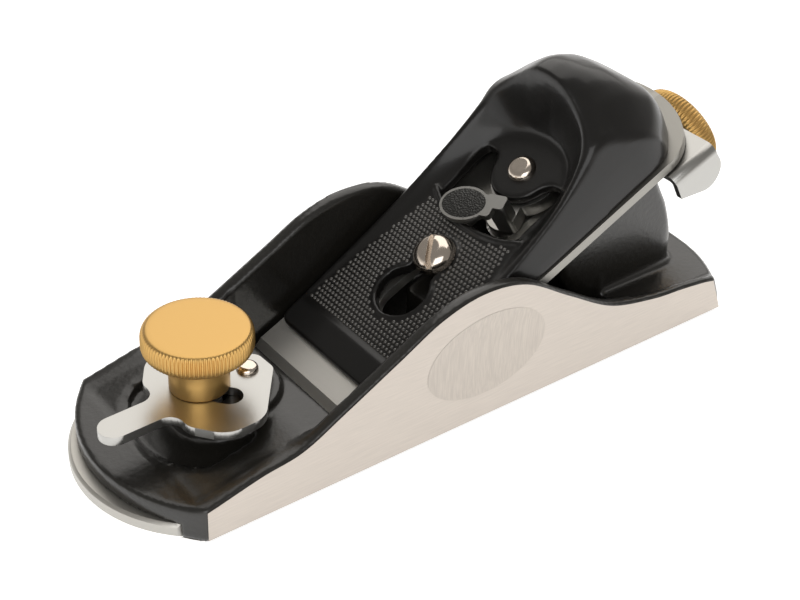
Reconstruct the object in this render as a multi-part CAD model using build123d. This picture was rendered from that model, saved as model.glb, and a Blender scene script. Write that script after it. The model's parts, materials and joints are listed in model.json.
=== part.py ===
"""Adjustable-mouth block plane, built as separate pieces on one shared frame.

+X runs from heel to toe, +Y is the left side when pushing the plane, and +Z is up.
The origin is the centre of the footprint, on the sole.

Everything that lies on the blade bed is drawn in bed coordinates (u, v, h):
u runs up the bed from the mouth, v is minus Y, and h is the height above the bed.
Everything square to the lever cap's top panel is drawn in panel coordinates (p, v, q).
"""
from build123d import *
import math
import os

# ---- driving dimensions, millimetres and degrees ------------------------------------
# sole and cheeks
BODY_WIDTH = 50.0
HALF_WIDTH = BODY_WIDTH / 2
CHANNEL_HALF = 21.6            # inside faces of the cheeks
TOE_APEX_X = 80.85
TOE_CORNER_X = 70.6
HEEL_APEX_X = -75.85
HEEL_CORNER_X = -71.0
HEEL_CORNER_R = 2.5
HEEL_TOP_R = 40.6              # the heel leans in to this radius at its top edge
HEEL_FOOT_R = 43.7             # and to this one at the sole
SOLE_THICKNESS = 4.5
HEEL_TOP_Z = 9.0
HEEL_DECK_Z = 8.6
HEEL_DECK_FRONT_X = -42.0
DECK_REAR_X = 37.5             # rear edge of the toe deck, in front of the throat
DECK_REAR_Z = 12.3
TOE_CORNER_Z = 7.4

# blade bed
BED_ANGLE = 26.2
MOUTH_X = 33.3                 # where the bed line meets the sole
PANEL_TILT = 6.0               # lever cap's top panel, steeper than the bed by this
PANEL_RISE = 2.3               # height of the panel plane above the bed at u = 0
BED_LIFT = -0.03               # the seats lie this far under the cutter

# sliding toe plate and its lock
PLATE_THICKNESS = 3.3
PLATE_HALF = 20.6
PLATE_REAR_X = 36.4
LIP_APEX_X = 83.6
PLATE_TRAVEL = 1.3
KNOB_X = 56.86
STUD_R = 2.5
BOSS_R = 4.5
PAD_TOP_Z = 14.1
PAD_X = 51.2
PAD_R = 11.6
LEVER_BOTTOM_Z = 14.2
LEVER_TOP_Z = 16.2
PIVOT_X = 46.25
PIVOT_Y = 1.0
PIVOT_R = 1.8
LEVER_SWING = 42.0             # degrees of lever for the whole plate travel
LEVER_LEAN = 2.5               # the handle's angle from the middle line, at rest

# cutter
CUTTER_THICKNESS = 2.3
CUTTER_HALF = 20.5
CUTTER_EDGE_U = 0.5
CUTTER_BEVEL = 25.0
CUTTER_END_U = 108.2
CUTTER_ROUND_U = 94.0          # centre of the elliptical rear end
SLOT_HALF = 5.75               # long slot for the cap screw and the lateral disc
SLOT_START_U = 26.0
SLOT_END_U = 71.0
GROOVE_U = 84.0                # the groove in use, of the row the finger can engage
GROOVE_PITCH = 3.0
GROOVE_WIDTH = 1.6

# lever cap
CAP_HALF = 20.3
CAP_FRONT_U = 11.4
CAP_ROUND_U = 88.0
CAP_END_U = 104.8
SCREW_U = 43.4
SCREW_R = 2.9
HEAD_R = 4.9
SLOT_TURN = -51.0              # where the head's slot stands at rest
RIVET_U = 70.5
WEB_R = 7.5
RELEASE_TRAVEL = 10.4
CAM_RIVET_R = 1.9
CAM_TOP_Q = -2.6
CAM_BOTTOM_Q = -6.2

# depth and lateral adjustment
SCREW_AXIS_H = -16.0
DEPTH_SCREW_R = 2.45
WHEEL_R = 11.0
WHEEL_FRONT_U = 110.0
WHEEL_REAR_U = 115.6
ARM_FRONT_U = 101.0
ARM_REAR_U = 104.0
LATERAL_PIVOT_U = 75.0
DISC_U = 64.0
DISC_R = 5.7
PLATE_TOP_H = -0.5
PLATE_BOTTOM_H = -2.0

RUNNING_GAP = 0.05
SLIDING_GAP = 0.1

# ---- frames --------------------------------------------------------------------------
COS_BED = math.cos(math.radians(BED_ANGLE))
SIN_BED = math.sin(math.radians(BED_ANGLE))
PANEL_ANGLE = BED_ANGLE + PANEL_TILT
COS_PANEL = math.cos(math.radians(PANEL_ANGLE))
SIN_PANEL = math.sin(math.radians(PANEL_ANGLE))
BED = Plane(origin=(MOUTH_X, 0, 0), x_dir=(-COS_BED, 0, SIN_BED), z_dir=(SIN_BED, 0, COS_BED))
PANEL = Plane(
    origin=(MOUTH_X + PANEL_RISE * SIN_BED, 0, PANEL_RISE * COS_BED),
    x_dir=(-COS_PANEL, 0, SIN_PANEL),
    z_dir=(SIN_PANEL, 0, COS_PANEL),
)
LEVER_PLACE = Pos(PIVOT_X, PIVOT_Y, 0)
# The side view of either frame: across runs along the frame, up is its normal.
SIDE = Plane(origin=(0, 0, 0), x_dir=(1, 0, 0), z_dir=(0, -1, 0))


def bed_xz(u, h):
    """World X and Z of a bed point."""
    return (MOUTH_X - u * COS_BED + h * SIN_BED, u * SIN_BED + h * COS_BED)


def panel_p(u):
    """Distance along the panel of the panel point above bed position u."""
    return u / math.cos(math.radians(PANEL_TILT))


def panel_h(u):
    """Height above the bed of the panel plane."""
    return PANEL_RISE + u * math.tan(math.radians(PANEL_TILT))


def on_bed(shape):
    return BED.location * shape


def on_panel(shape):
    return PANEL.location * shape


def prism(points, half):
    """A side outline, extruded the same way to both sides of the middle plane."""
    return extrude(SIDE * make_face(Polyline(*points, close=True)), half, both=True)


def slab(face, low, high):
    """A plan outline, extruded from one height to another."""
    return extrude(Pos(0, 0, low) * face, high - low)


def rod(radius, low, high, x=0.0, y=0.0):
    return Pos(x, y, low) * Cylinder(radius, high - low, align=(Align.CENTER, Align.CENTER, Align.MIN))


def block(x, y, z):
    """A box between two corners, given as (low, high) on each axis."""
    size = (x[1] - x[0], y[1] - y[0], z[1] - z[0])
    return Pos(x[0], y[0], z[0]) * Box(*size, align=(Align.MIN, Align.MIN, Align.MIN))


def long_hole(x_low, x_high, half):
    """A plan outline with round ends whose centres are at x_low and x_high."""
    middle = Pos((x_low + x_high) / 2, 0) * Rectangle(x_high - x_low, 2 * half)
    return middle + Pos(x_low, 0) * Circle(half) + Pos(x_high, 0) * Circle(half)


# ---- body casting --------------------------------------------------------------------
CHEEK_TOP = (
    (76.0, 6.9), (TOE_CORNER_X, TOE_CORNER_Z), (58.3, 10.4), (48.7, 12.1), (38.8, 17.2), (25.5, 24.5),
    (15.3, 30.0), (4.7, 32.4), (-6.6, 30.5), (-19.3, 22.9), (-32.9, 15.1), (-46.6, 11.6), (-65.5, 9.6),
    (-77.0, 9.2),
)


def sole_outline():
    toe = ThreePointArc((TOE_CORNER_X, -HALF_WIDTH), (TOE_APEX_X, 0), (TOE_CORNER_X, HALF_WIDTH))
    heel = ThreePointArc((HEEL_CORNER_X, HALF_WIDTH), (HEEL_APEX_X, 0), (HEEL_CORNER_X, -HALF_WIDTH))
    left = Line(toe @ 1, heel @ 0)
    right = Line(heel @ 1, toe @ 0)
    face = make_face([toe, left, heel, right])
    heel_corners = [vertex for vertex in face.vertices() if vertex.X < 0]
    return fillet(heel_corners, HEEL_CORNER_R)


def cheek_profile():
    top = Spline(*CHEEK_TOP)
    front = Line((90, 0), (90, CHEEK_TOP[0][1]))
    nose = Line((90, CHEEK_TOP[0][1]), top @ 0)
    rear = Line(top @ 1, (-90, CHEEK_TOP[-1][1]))
    back = Line((-90, CHEEK_TOP[-1][1]), (-90, 0))
    base = Line((-90, 0), (90, 0))
    return make_face([front, nose, top, rear, back, base])


def toe_moat():
    """The sunk ring in the toe deck, around the raised pad under the lever."""
    front = Pos(49.55, 0) * Circle(22.4)
    window = Pos(59.5, 0) * RectangleRounded(32, 37.2, 4)
    pad = Pos(PAD_X, 0) * Circle(PAD_R)
    slope = math.degrees(math.atan2(DECK_REAR_Z - TOE_CORNER_Z, TOE_CORNER_X - DECK_REAR_X))
    tilt = Plane(origin=(0, 0, DECK_REAR_Z + DECK_REAR_X * math.tan(math.radians(slope)))).rotated((0, slope, 0))
    return tilt.location * slab((front & window) - pad, -2.4, 6)


def heel_trim():
    """What the leaning heel leaves out, behind a cone that narrows to the top."""
    rise = 60.0
    middle_x = HEEL_APEX_X + HEEL_TOP_R - 0.15
    top_r = HEEL_FOOT_R - (HEEL_FOOT_R - HEEL_TOP_R) * rise / HEEL_TOP_Z
    cone = Pos(middle_x, 0, rise / 2) * Cone(HEEL_FOOT_R, top_r, rise)
    return block((-100, middle_x - 20), (-60, 60), (0, rise)) - cone


def casting_hollows():
    channel = block((HEEL_DECK_FRONT_X, DECK_REAR_X), (-CHANNEL_HALF, CHANNEL_HALF), (SOLE_THICKNESS, 60))
    heel = block((-90, HEEL_DECK_FRONT_X), (-CHANNEL_HALF, CHANNEL_HALF), (HEEL_DECK_Z, 60))
    above_deck = prism(
        [(DECK_REAR_X, DECK_REAR_Z), (48.7, 11.9), (58.3, 10.3), (TOE_CORNER_X, TOE_CORNER_Z),
         (TOE_CORNER_X, 60), (DECK_REAR_X, 60)],
        CHANNEL_HALF,
    )
    throat = block((MOUTH_X - 2.3, DECK_REAR_X), (-CHANNEL_HALF, CHANNEL_HALF), (-1, 20))
    plate_bay = block((MOUTH_X - 1, 100), (-PLATE_HALF - SLIDING_GAP, PLATE_HALF + SLIDING_GAP),
                      (-1, PLATE_THICKNESS + SLIDING_GAP))
    bed_end = bed_xz(20.0, BED_LIFT)
    above_bed = prism([bed_xz(-2.0, BED_LIFT), bed_end, (bed_end[0], 30), (MOUTH_X, 30)], CHANNEL_HALF)
    return channel + heel + above_deck + throat + plate_bay + above_bed + toe_moat()


def bed_ramp():
    """The front seat of the cutter, a wedge that joins both cheeks."""
    tip = MOUTH_X - 1.3
    rear = 12.0
    rise = math.tan(math.radians(BED_ANGLE))
    top_tip = (tip, (MOUTH_X - tip) * rise + BED_LIFT)
    top_rear = (rear, (MOUTH_X - rear) * rise + BED_LIFT)
    return prism([(rear, 0), (tip, 0), top_tip, top_rear], CHANNEL_HALF + 0.5)


def screw_pillar():
    """The pillar the cap screw threads into."""
    top_front = bed_xz(36.0, -0.4)
    top_rear = bed_xz(50.0, -0.4)
    pillar = prism([(top_front[0], 3), top_front, top_rear, (top_rear[0] - 8, 3)], 6.5)
    return fillet(pillar.edges().filter_by(Axis.Z), 2.5)


def frog_post():
    """The rear post: two rails for the cutter, a channel for the slide, a bore for the screw."""
    front_top = bed_xz(62.0, BED_LIFT)
    rear_top = bed_xz(88.0, BED_LIFT)
    side = prism(
        [(-38.0, 4), (-25.5, 21.5), front_top, rear_top, (-56.5, 35.0), (-61.3, 26.5), (-65.5, 17.0), (-68.2, 4)],
        12.7,
    )
    plan = Pos(-46, 0) * RectangleRounded(46, 25.4, 8.5)
    post = side & slab(plan, 0, 60)
    rail_gap = on_bed(block((50, 110), (-8.3, 8.3), (-2.3, 5)))
    slide_way = on_bed(block((50, 110), (-5.05, 5.05), (-8.6, 5)))
    bore = on_bed(Pos(0, 0, SCREW_AXIS_H) * Rot(0, 90, 0) * rod(DEPTH_SCREW_R + RUNNING_GAP, 76, 110))
    return post - rail_gap - slide_way - bore


def cheek_dish():
    """The shallow finger dish ground into a cheek, cut by a large flattened ellipsoid."""
    half_length = 116.0
    radius = 90.0
    depth = 0.9
    section = Ellipse(half_length, radius) & Pos(0, radius) * Rectangle(3 * half_length, 2 * radius)
    ellipsoid = revolve(section, Axis.X)
    return Pos(3.5, HALF_WIDTH - depth + radius, 15.5) * ellipsoid


def body_casting():
    outline = slab(sole_outline(), 0, 60) - heel_trim()
    body = outline & extrude(SIDE * cheek_profile(), HALF_WIDTH + 1, both=True)
    body -= casting_hollows()
    body += (bed_ramp() + screw_pillar() + frog_post()) & outline
    body += rod(PAD_R, 5, PAD_TOP_Z, PAD_X)
    body -= slab(boss_way(), 0, 30)
    body -= rod(PIVOT_R, 8, 30, PIVOT_X, PIVOT_Y)
    body -= on_panel(rod(SCREW_R + RUNNING_GAP, -24, 5, panel_p(SCREW_U)))
    dish = cheek_dish()
    return body - dish - mirror(dish, Plane.XZ)


# ---- toe plate, knob and eccentric lever ---------------------------------------------
def boss_way():
    """The slot in the toe that the plate's boss slides in."""
    rear = KNOB_X - PLATE_TRAVEL - SLIDING_GAP
    return long_hole(rear, KNOB_X + SLIDING_GAP, BOSS_R + SLIDING_GAP)


def toe_plate():
    half_lip = PLATE_HALF
    lip = ThreePointArc((74.6, -half_lip), (LIP_APEX_X, 0), (74.6, half_lip))
    left = Line(lip @ 1, (PLATE_REAR_X, half_lip))
    rear = Line((PLATE_REAR_X, half_lip), (PLATE_REAR_X, -half_lip))
    right = Line((PLATE_REAR_X, -half_lip), lip @ 0)
    plate = slab(make_face([lip, left, rear, right]), 0, PLATE_THICKNESS)
    boss = rod(BOSS_R, PLATE_THICKNESS - 1, PAD_TOP_Z, KNOB_X)
    thread = rod(STUD_R + RUNNING_GAP, 4, 20, KNOB_X)
    lip_edges = plate.edges().filter_by(GeomType.CIRCLE)
    return chamfer(lip_edges, 0.6) + boss - thread


def front_knob():
    """A turned hub and a knurled rim with a flat top."""
    hub_r = 6.13
    rim_r = 11.2
    low = LEVER_TOP_Z + RUNNING_GAP / 2
    rim_low = 25.4
    top = 30.3
    profile = make_face(Polyline(
        (0, low), (hub_r - 0.3, low), (hub_r, low + 0.3), (hub_r, rim_low - 2.2), (hub_r + 1.2, rim_low - 1.0),
        (rim_r - 1.5, rim_low - 0.4), (rim_r, rim_low + 1.1), (rim_r, top - 1.1), (rim_r - 0.9, top), (0, top),
        close=True,
    ))
    solid = Pos(KNOB_X, 0, 0) * revolve(Plane.XZ * profile, Axis.Z)
    return solid - rod(STUD_R, low - 1, low + 7, KNOB_X)


def front_knob_stud():
    low = 6.0
    stud = rod(STUD_R, low, LEVER_TOP_Z + 7, KNOB_X)
    tip = stud.edges().sort_by(Axis.Z)[0]
    return chamfer(tip, 0.6)


def pin_in_lever(fraction):
    """Where the knob's stud is in the lever's own frame, at a fraction of the swing."""
    turn = math.radians(LEVER_SWING * fraction)
    dx = KNOB_X - PLATE_TRAVEL * fraction - PIVOT_X
    dy = -PIVOT_Y
    return Vector(dx * math.cos(turn) - dy * math.sin(turn), dx * math.sin(turn) + dy * math.cos(turn))


def cam_slot():
    """The curved slot: each stud place along the swing, joined into one band."""
    half = STUD_R + 0.2
    steps = 8
    places = [pin_in_lever(step / steps) for step in range(steps + 1)]
    slot = Pos(places[0].X, places[0].Y) * Circle(half)
    for start, end in zip(places, places[1:]):
        run = end - start
        angle = math.degrees(math.atan2(run.Y, run.X))
        middle = (start + end) / 2
        slot += Pos(middle.X, middle.Y) * Rot(0, 0, angle) * Rectangle(run.length, 2 * half)
        slot += Pos(end.X, end.Y) * Circle(half)
    return slot


def eccentric_lever():
    """A flat stamped lever: a broad cam head with a narrow handle, drawn about its pivot."""
    handle_half = 3.3
    handle_end = 34.2
    head_front = 19.6
    handle_length = handle_end - handle_half - head_front
    handle = Pos(head_front + handle_length / 2, 0) * Rectangle(handle_length, 2 * handle_half)
    tip = Pos(handle_end - handle_half, 0) * Circle(handle_half)
    half_outline = [(-4.6, 2.6), (6.0, 15.0), (14.8, 15.0), (head_front, 8.4)]
    other_half = [(x, -y) for x, y in reversed(half_outline)]
    head = make_face(Polyline(*half_outline, *other_half, close=True))
    head = fillet([vertex for vertex in head.vertices() if vertex.X > head_front - 1], 4.0)
    lobes = [vertex for vertex in head.vertices() if 0 < vertex.X < head_front - 3 and abs(vertex.Y) > 14]
    head = fillet(lobes, 6.0)
    head = fillet([vertex for vertex in head.vertices() if vertex.X < -4], 2.2)
    blank = head + handle + tip
    notches = [v for v in blank.vertices() if abs(v.X - head_front) < 0.1 and abs(abs(v.Y) - handle_half) < 0.1]
    blank = Rot(0, 0, LEVER_LEAN) * fillet(notches, 3.0)
    plate = slab(blank, LEVER_BOTTOM_Z, LEVER_TOP_Z) - slab(cam_slot(), 0, 30)
    return LEVER_PLACE * (plate - rod(PIVOT_R + RUNNING_GAP, 0, 30))


def eccentric_rivet():
    head_r = 2.3
    head_low = LEVER_TOP_Z + RUNNING_GAP
    head = rod(head_r, head_low, head_low + 1.2)
    head = fillet(head.edges().sort_by(Axis.Z)[-1], 1.1)
    return LEVER_PLACE * (head + rod(PIVOT_R, 8, head_low))


# ---- cutter --------------------------------------------------------------------------
def cutter():
    round_length = CUTTER_END_U - CUTTER_ROUND_U
    flat = Pos((CUTTER_EDGE_U + CUTTER_ROUND_U) / 2, 0) * Rectangle(
        CUTTER_ROUND_U - CUTTER_EDGE_U, 2 * CUTTER_HALF)
    end = Pos(CUTTER_ROUND_U, 0) * Ellipse(round_length, CUTTER_HALF)
    blank = slab(flat + end, 0, CUTTER_THICKNESS)
    bevel = CUTTER_THICKNESS / math.tan(math.radians(CUTTER_BEVEL))
    waste = prism(
        [(CUTTER_EDGE_U, 0), (CUTTER_EDGE_U + bevel, CUTTER_THICKNESS),
         (CUTTER_EDGE_U + bevel, CUTTER_THICKNESS + 3), (CUTTER_EDGE_U - 3, CUTTER_THICKNESS + 3),
         (CUTTER_EDGE_U - 3, 0)],
        CUTTER_HALF + 1,
    )
    slot = slab(long_hole(SLOT_START_U + SLOT_HALF, SLOT_END_U - SLOT_HALF, SLOT_HALF), -1, 5)
    blank = blank - waste - slot
    for step in range(-3, 3):
        middle = GROOVE_U + step * GROOVE_PITCH
        blank -= block((middle - GROOVE_WIDTH / 2, middle + GROOVE_WIDTH / 2), (-7, 7), (-1, 1.0))
    return on_bed(blank)


# ---- lever cap -----------------------------------------------------------------------
def cap_outline():
    round_length = CAP_END_U - CAP_ROUND_U
    flat = Pos((CAP_FRONT_U + CAP_ROUND_U) / 2, 0) * Rectangle(CAP_ROUND_U - CAP_FRONT_U, 2 * CAP_HALF)
    front = [vertex for vertex in flat.vertices() if vertex.X < CAP_FRONT_U + 1]
    return fillet(front, 2.5) + Pos(CAP_ROUND_U, 0) * Ellipse(round_length, CAP_HALF)


def cap_side():
    """The cap's side view: a low front, ridges that grow, and the round palm rest."""
    low = CUTTER_THICKNESS + 0.02
    front_edge = Line((CAP_FRONT_U, low), (CAP_FRONT_U, low + 1.5))
    crest = Spline(
        (CAP_FRONT_U, low + 1.5), (30, 6.3), (48, 8.8), (62, 11.7), (68, 14.4), (73, 20.3), (77.5, 25.2),
        (82, 27.4), (86.5, 27.6), (90.5, 26.2), (95.5, 21.6), (100.7, 14.2), (103.1, 9.6), (CAP_END_U + 0.4, low),
    )
    base = Line(crest @ 1, (CAP_FRONT_U, low))
    return extrude(SIDE * make_face([front_edge, crest, base]), CAP_HALF + 1, both=True)


def cap_arch():
    """The end view: sides that lean in and a domed top."""
    side_top = 17.6
    half_top = 17.5
    dome = Spline(
        (-half_top, side_top), (-13.0, 20.7), (-10.0, 22.9), (-7.0, 25.1), (0, 27.7), (7.0, 25.1), (10.0, 22.9),
        (13.0, 20.7), (half_top, side_top),
    )
    side = Line((-CAP_HALF, 0), dome @ 0)
    other = Line(dome @ 1, (CAP_HALF, 0))
    base = Line((CAP_HALF, 0), (-CAP_HALF, 0))
    end_view = Plane(origin=(0, 0, 0), x_dir=(0, 1, 0), z_dir=(1, 0, 0))
    return extrude(end_view * make_face([side, dome, other, base]), 120)


def above_panel(rear_u, half_front, half_rear):
    """Everything over the sunk panel, narrowing to the rear as the ridges grow."""
    front_u = 18.6
    plan = make_face(Polyline((front_u, -half_front), (front_u, half_front), (rear_u, half_rear),
                              (rear_u, -half_rear), close=True))
    wedge = prism([(0, panel_h(0)), (120, panel_h(120)), (120, 60), (0, 60)], 30)
    return slab(plan, 0, 60) & wedge


def thumb_hollow():
    """The scoop in the palm rest, cut down to the panel plane and no deeper."""
    ball = Pos(76.0, 0, 15.0) * Sphere(13.8)
    wedge = prism([(0, panel_h(0)), (120, panel_h(120)), (120, 60), (0, 60)], 30)
    return ball & wedge


def cam_opening():
    """The window in front of the rivet web that the cam lever's neck swings in."""
    disc = Pos(66.5, 0) * Circle(13.0)
    front = Pos(83.2, 0) * Circle(30.0)
    window = Pos(63, 0) * Rectangle(18.5, 25.0)
    web = Pos(RIVET_U, 0) * Circle(WEB_R)
    behind = Pos(91.0, 0) * Rectangle(40, 60)
    return slab(((window & front) + disc) - web - behind, 0, 60)


def cap_cavity():
    """The space under the cap, for the cutter's slot, the screw and the cam."""
    floor = 2.5
    inner = Pos(56.5, 0) * RectangleRounded(81, 33, 3)
    under = prism([(0, 0), (0, panel_h(0) - floor), (120, panel_h(120) - floor), (120, 0)], 30)
    return slab(inner, 0, 60) & under


def lever_cap():
    cap = cap_side() & slab(cap_outline(), 0, 60) & cap_arch()
    cap -= above_panel(60.0, 17.8, 13.2)
    cap -= thumb_hollow()
    cap -= cap_cavity()
    cap -= cam_opening()
    cap = on_bed(cap)
    screw_p = panel_p(SCREW_U)
    hole_p = screw_p - RELEASE_TRAVEL
    keyhole = Pos(hole_p, 0) * Circle(6.2) + long_hole(hole_p, screw_p + 1.0, SCREW_R + 0.6)
    rim = offset(keyhole, 0.9) - keyhole
    cap += on_panel(slab(rim, -0.5, 0.45))
    cap -= on_panel(slab(keyhole, -8, 8))
    return cap - on_panel(rod(CAM_RIVET_R, -6, 6, panel_p(RIVET_U)))


def cam_rivet():
    head = rod(3.3, 0.02, 1.6)
    head = fillet(head.edges().sort_by(Axis.Z)[-1], 1.5)
    shank = rod(CAM_RIVET_R, CAM_BOTTOM_Q - 0.9, 0.5)
    tail = rod(3.0, CAM_BOTTOM_Q - 0.9, CAM_BOTTOM_Q - SLIDING_GAP)
    return on_panel(Pos(panel_p(RIVET_U), 0) * (head + shank + tail))


def cam_lever():
    """A cam disc under the web, a neck up through the window and an oval thumb tab."""
    disc = Circle(8.2)
    neck = Pos(-6.0, -2.2) * Rot(0, 0, 20) * Rectangle(11.0, 5.0)
    base = slab(disc + neck, CAM_BOTTOM_Q, CAM_TOP_Q)
    riser = Pos(-10.4, -3.6) * Rot(0, 0, 20) * RectangleRounded(3.4, 5.0, 0.8)
    tab = Pos(-14.6, 2.6) * Rot(0, 0, -68) * Ellipse(6.0, 4.4)
    bridge = Pos(-12.4, -2.0) * Rot(0, 0, 20) * RectangleRounded(5.4, 4.6, 1.0)
    top = slab(tab + bridge, 1.4, 3.0)
    lever = base + slab(riser, CAM_BOTTOM_Q, 3.0) + top
    lever -= rod(CAM_RIVET_R + RUNNING_GAP, -10, 10)
    return on_panel(Pos(panel_p(RIVET_U), 0) * lever)


def lever_cap_screw():
    low = 0.5
    head = rod(HEAD_R, low, low + 3.2)
    head = fillet(head.edges().sort_by(Axis.Z)[-1], 3.1)
    head -= Rot(0, 0, SLOT_TURN) * block((-0.6, 0.6), (-9, 9), (low + 1.5, low + 4))
    shank = rod(SCREW_R, -19, low + 0.5)
    return on_panel(Pos(panel_p(SCREW_U), 0) * (head + shank))


# ---- depth and lateral adjustment ----------------------------------------------------
def along_screw(radius, start, end):
    """A round length of the depth screw's axis, between two bed positions."""
    return Pos(0, 0, SCREW_AXIS_H) * Rot(0, 90, 0) * rod(radius, start, end)


def depth_wheel():
    rim = along_screw(WHEEL_R, WHEEL_FRONT_U, WHEEL_REAR_U)
    rim = chamfer(rim.edges().filter_by(GeomType.CIRCLE), 1.1)
    hub = along_screw(4.5, ARM_REAR_U + SLIDING_GAP, WHEEL_FRONT_U + 1)
    return on_bed(rim + hub - along_screw(DEPTH_SCREW_R, 90, WHEEL_REAR_U + 1))


def depth_screw():
    return on_bed(along_screw(DEPTH_SCREW_R, 78.5, WHEEL_REAR_U))


def depth_screw_clip():
    """The ring that keeps the slide's arm against the wheel's hub."""
    ring = along_screw(4.2, ARM_FRONT_U - 1.6, ARM_FRONT_U - SLIDING_GAP)
    return on_bed(ring - along_screw(DEPTH_SCREW_R, 90, 110))


def adjuster_slide():
    """A block in the post's channel, a finger in the cutter's groove and an arm on the screw."""
    rail = block((68.0, ARM_REAR_U), (-4.95, 4.95), (-8.5, PLATE_BOTTOM_H - SLIDING_GAP))
    arm = block((ARM_FRONT_U, ARM_REAR_U), (-4.95, 4.95), (SCREW_AXIS_H - 5.2, -8.0))
    foot = fillet(arm.edges().filter_by(Axis.X).sort_by(Axis.Z)[:2], 4.0)
    finger = block((GROOVE_U - 0.6, GROOVE_U + 0.6), (-2.5, 2.5), (-3, 0.85))
    slide = rail + foot + finger
    slide -= along_screw(DEPTH_SCREW_R + RUNNING_GAP, 90, 110)
    return on_bed(slide - rod(1.5, -8, 5, LATERAL_PIVOT_U))


def lateral_pivot():
    shank = rod(1.5, -7.5, PLATE_TOP_H + 0.1)
    head = rod(2.4, PLATE_TOP_H + RUNNING_GAP, -0.1)
    return on_bed(Pos(LATERAL_PIVOT_U, 0) * (shank + head))


def lateral_blank():
    """The flat of the lateral lever before its wings are bent."""
    neck = Pos(78.5, 0) * Rectangle(29.0, 12.4)
    nose = Pos(DISC_U, 0) * Circle(6.2)
    wide = Pos(98.6, 0) * Rectangle(12.4, 41.6)
    blank = neck + nose + wide
    notch = [v for v in blank.vertices() if abs(v.X - 92.4) < 0.1 and abs(abs(v.Y) - 6.2) < 0.2]
    return fillet(notch, 1.2)


def lateral_wing():
    """One wing, bent down through a quarter round, deeper to the rear."""
    bend_r = 2.4
    thickness = PLATE_TOP_H - PLATE_BOTTOM_H
    inner_v = 20.8
    ring = Circle(bend_r) - Circle(bend_r - thickness)
    quarter = ring & Pos(bend_r, bend_r) * Rectangle(2 * bend_r, 2 * bend_r)
    end_view = Plane(origin=(0, inner_v, PLATE_TOP_H - bend_r), x_dir=(0, 1, 0), z_dir=(1, 0, 0))
    bend = Pos(92.4, 0, 0) * extrude(end_view * quarter, 12.4)
    outer_v = inner_v + bend_r
    top = PLATE_TOP_H - bend_r
    side = make_face(Polyline((92.4, top), (104.8, top), (107.0, -14.0), (92.6, -6.6), close=True))
    corner = [v for v in side.vertices() if v.Y < -10]
    side = fillet(corner, 4.5)
    wing = Pos(0, outer_v, 0) * extrude(SIDE * side, thickness)
    return bend + wing


def lateral_lever():
    wing = lateral_wing()
    lever = slab(lateral_blank(), PLATE_BOTTOM_H, PLATE_TOP_H) + wing + mirror(wing, Plane.XZ)
    window = Pos(GROOVE_U, 0) * Rectangle(2.6, 7.6)
    lever -= slab(window, -5, 5)
    lever -= rod(1.5 + RUNNING_GAP, -5, 5, LATERAL_PIVOT_U)
    return on_bed(lever - rod(1.5, -5, 5, DISC_U))


def lateral_disc():
    disc = rod(DISC_R, PLATE_TOP_H, 1.8, DISC_U)
    return on_bed(disc - rod(1.5, -5, 5, DISC_U))


def disc_rivet():
    return on_bed(rod(1.5, PLATE_BOTTOM_H, 1.8, DISC_U))


# ---- writing the pieces --------------------------------------------------------------
def main():
    os.makedirs("parts", exist_ok=True)
    pieces = {
        "body_casting": body_casting(),
        "toe_plate": toe_plate(),
        "front_knob": front_knob(),
        "front_knob_stud": front_knob_stud(),
        "eccentric_lever": eccentric_lever(),
        "eccentric_rivet": eccentric_rivet(),
        "cutter": cutter(),
        "lever_cap": lever_cap(),
        "lever_cap_screw": lever_cap_screw(),
        "cam_lever": cam_lever(),
        "cam_rivet": cam_rivet(),
        "adjuster_slide": adjuster_slide(),
        "depth_wheel": depth_wheel(),
        "depth_screw": depth_screw(),
        "depth_screw_clip": depth_screw_clip(),
        "lateral_lever": lateral_lever(),
        "lateral_pivot": lateral_pivot(),
        "lateral_disc": lateral_disc(),
        "disc_rivet": disc_rivet(),
    }
    for name, piece in pieces.items():
        export_step(piece, "parts/" + name + ".step")


main()
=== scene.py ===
"""Looks for the block plane: cast surfaces, knurled brass, textured cap, materials, light and camera."""
import json
import math
import bpy
import numpy as np
from mathutils import Matrix, Vector


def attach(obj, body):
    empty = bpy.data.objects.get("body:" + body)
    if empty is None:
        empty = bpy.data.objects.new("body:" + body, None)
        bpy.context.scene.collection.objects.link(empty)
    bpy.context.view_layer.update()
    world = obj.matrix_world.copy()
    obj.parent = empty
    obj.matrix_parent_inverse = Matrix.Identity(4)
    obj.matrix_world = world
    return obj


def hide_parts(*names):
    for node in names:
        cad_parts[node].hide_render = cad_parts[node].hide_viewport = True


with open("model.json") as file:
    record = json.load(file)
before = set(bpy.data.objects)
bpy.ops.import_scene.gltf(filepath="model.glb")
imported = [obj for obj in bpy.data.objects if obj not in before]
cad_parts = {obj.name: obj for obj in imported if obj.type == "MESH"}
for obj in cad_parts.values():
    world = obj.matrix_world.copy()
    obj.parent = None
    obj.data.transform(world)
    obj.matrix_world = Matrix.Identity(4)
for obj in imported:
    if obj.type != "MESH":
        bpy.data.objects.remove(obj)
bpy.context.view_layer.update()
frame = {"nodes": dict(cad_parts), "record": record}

MM = 0.001
BED_ANGLE = math.radians(26.2)
MOUTH_X = 33.3
PANEL_TILT = math.radians(6.0)
PANEL_RISE = 2.3
SIDES = (-1, 1)


# ---- bed frame ------------------------------------------------------------------------
def bed_to_world(points):
    """Bed coordinates (u up the bed, v towards -Y, h above it) to world, millimetres."""
    u, v, h = np.asarray(points, float).T
    sin_bed, cos_bed = math.sin(BED_ANGLE), math.cos(BED_ANGLE)
    return np.stack([MOUTH_X - u * cos_bed + h * sin_bed, -v, u * sin_bed + h * cos_bed], axis=1)


def panel_height(u):
    """Height of the cap's top panel above the bed."""
    return PANEL_RISE + u * math.tan(PANEL_TILT)


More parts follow.
